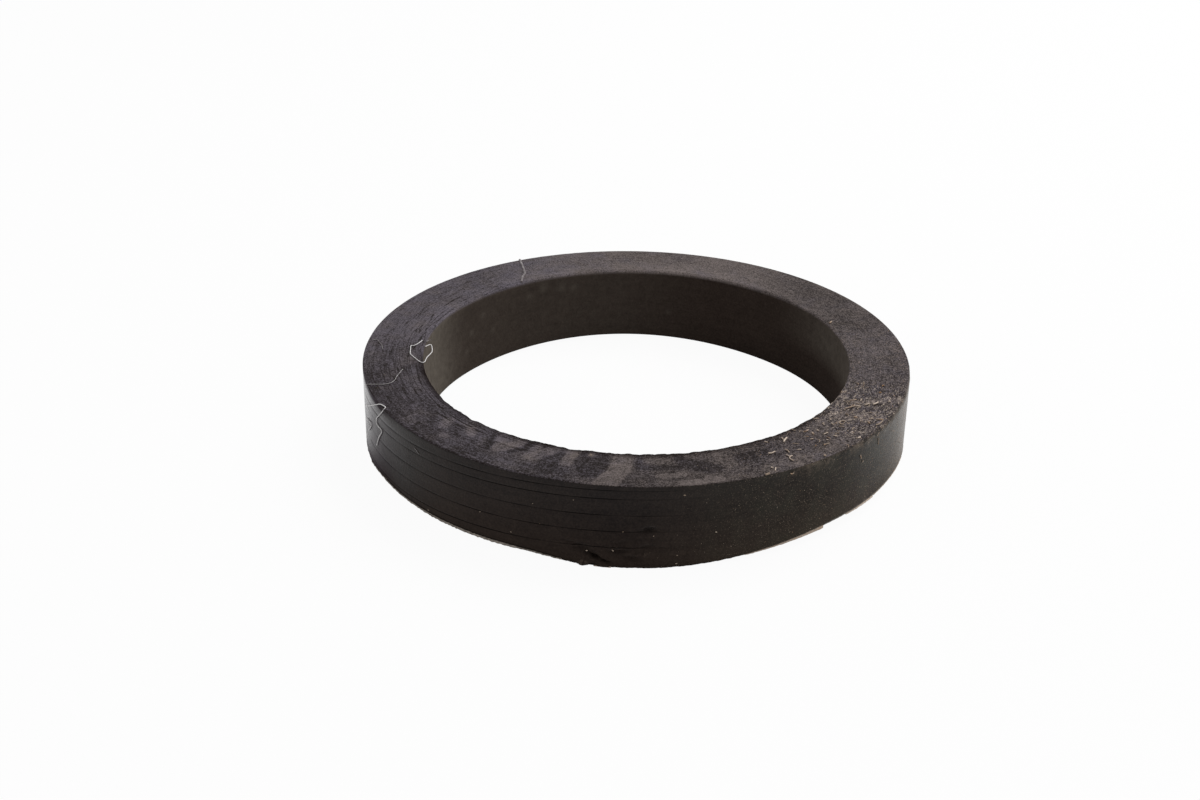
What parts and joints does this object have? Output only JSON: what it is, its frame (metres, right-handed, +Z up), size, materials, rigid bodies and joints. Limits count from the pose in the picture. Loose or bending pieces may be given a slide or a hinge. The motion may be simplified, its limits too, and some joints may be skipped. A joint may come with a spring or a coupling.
{
  "type": "sealing ring",
  "caption": "Worn black rubber sealing ring of square section, with fine knife lines round its outer wall, a dusty cut face and a torn lower edge.",
  "frame": {"origin": "centre of the bore, on the plane that the lower face rests on", "axes": "+Z up along the bore axis, -Y towards the torn stretch of the lower edge, +X towards the dusty, rough stretch"},
  "size_m": [0.05, 0.05, 0.0077],
  "materials": {
    "rubber": "matte, knife cut and dusty"
  },
  "bodies": {
    "root": {"sealing_ring": "rubber"}
  },
  "joints": []
}
